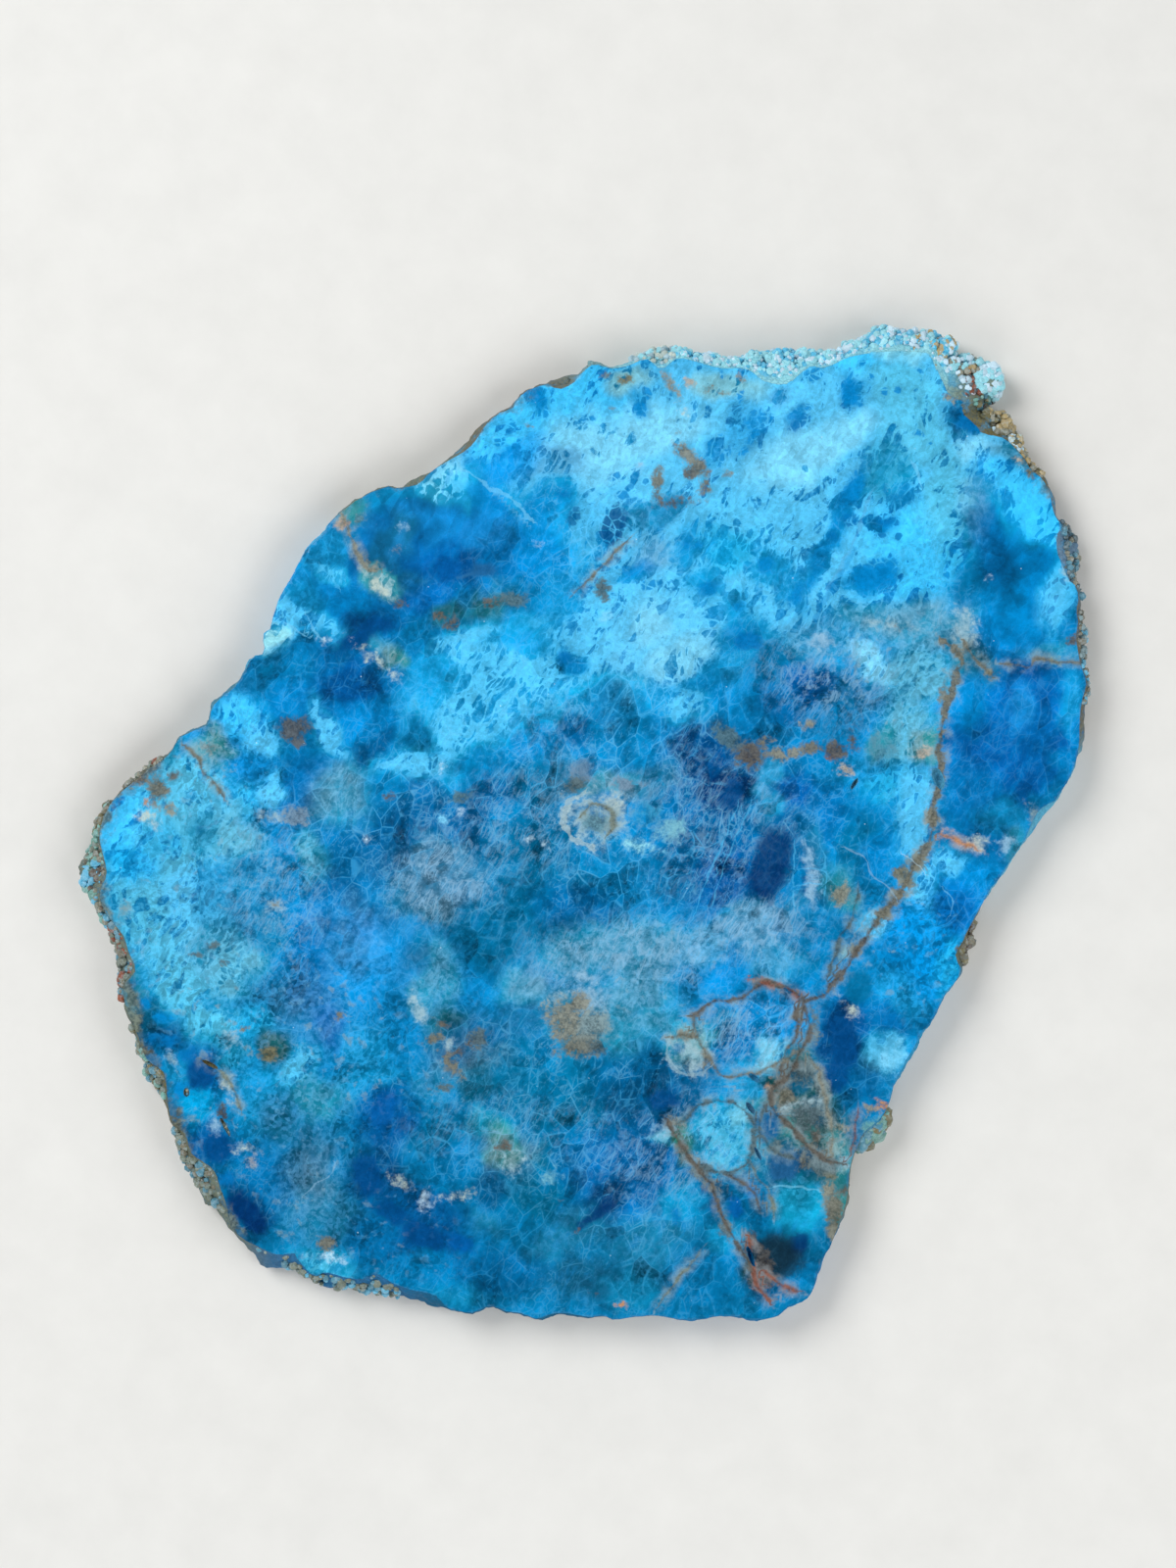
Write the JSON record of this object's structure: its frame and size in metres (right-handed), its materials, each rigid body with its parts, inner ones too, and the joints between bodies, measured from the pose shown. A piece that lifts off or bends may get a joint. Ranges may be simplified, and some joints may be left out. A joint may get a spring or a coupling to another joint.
{
  "type": "blue apatite slab",
  "caption": "Flat sawn slab of blue apatite with a polished front, webbed with pale veins, and a rough natural rim with a crystal crust on one corner.",
  "frame": {"origin": "centre of the slab's box, on the sawn back face that it lies on", "axes": "+Z out of the polished front face, +Y towards the top of the slab and +X to its right, seen from the front"},
  "size_m": [0.1724, 0.1696, 0.0065],
  "materials": {
    "apatite": "polished on the front, sawn on the back, rough on the rim"
  },
  "bodies": {
    "root": {"slab": "apatite"}
  },
  "joints": []
}
